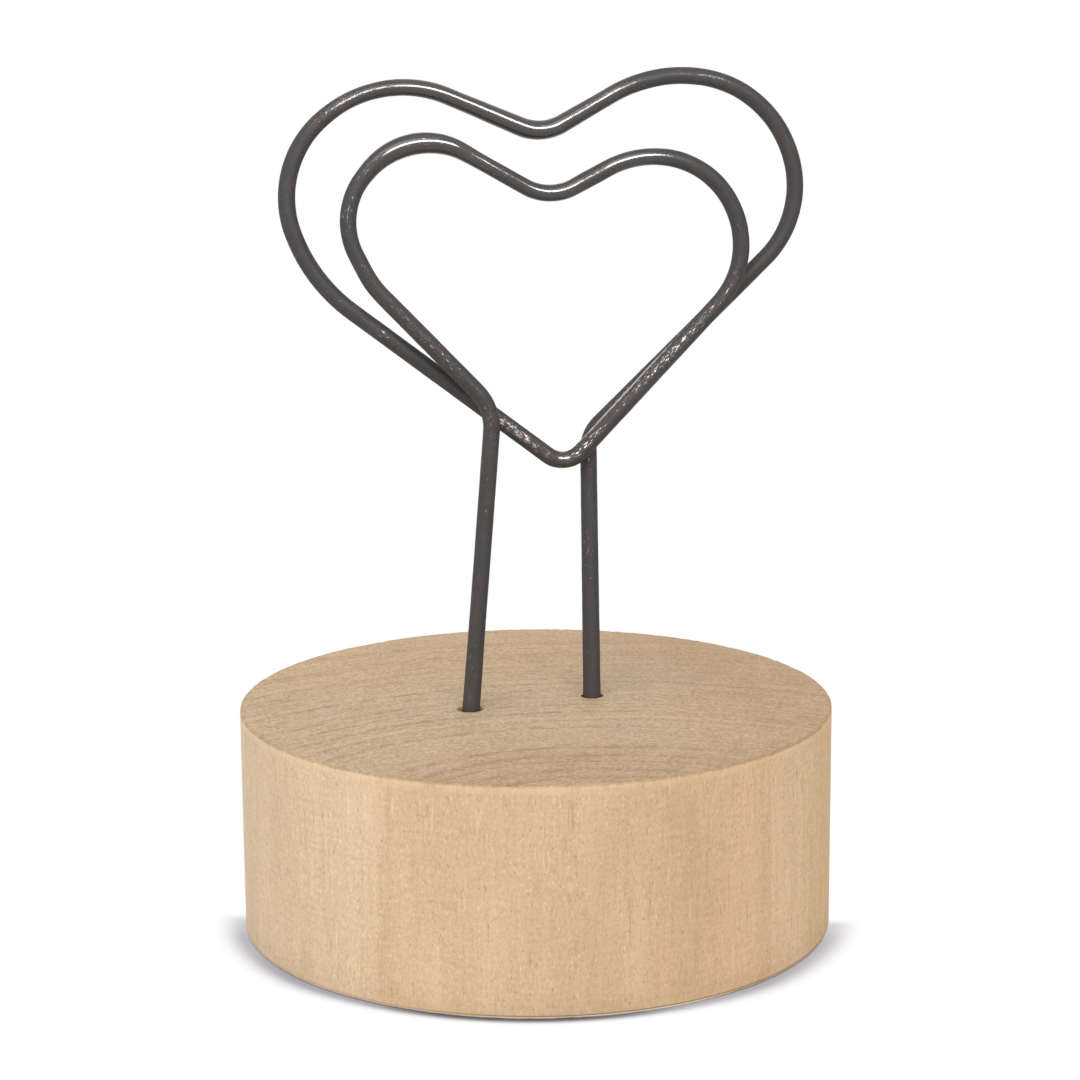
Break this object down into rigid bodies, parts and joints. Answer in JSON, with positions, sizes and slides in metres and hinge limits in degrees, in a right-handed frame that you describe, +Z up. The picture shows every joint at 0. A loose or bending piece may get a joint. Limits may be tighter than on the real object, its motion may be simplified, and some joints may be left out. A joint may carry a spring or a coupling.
{
  "type": "memo clip holder",
  "caption": "Round wooden base with one dark steel wire bent into two nested hearts that grip a note or photo between them.",
  "frame": {"origin": "middle of the base's underside", "axes": "+Z up; the hearts stand along X, with the inner heart on the -Y side, which is the front"},
  "size_m": [0.05, 0.05, 0.0719],
  "materials": {
    "turned_wood": "fine sanded, unvarnished",
    "blackened_steel": "blackened wire, semi-gloss, worn bright where it was bent"
  },
  "bodies": {
    "root": {"wood_base": "turned_wood", "wire_clip": "blackened_steel"}
  },
  "joints": []
}
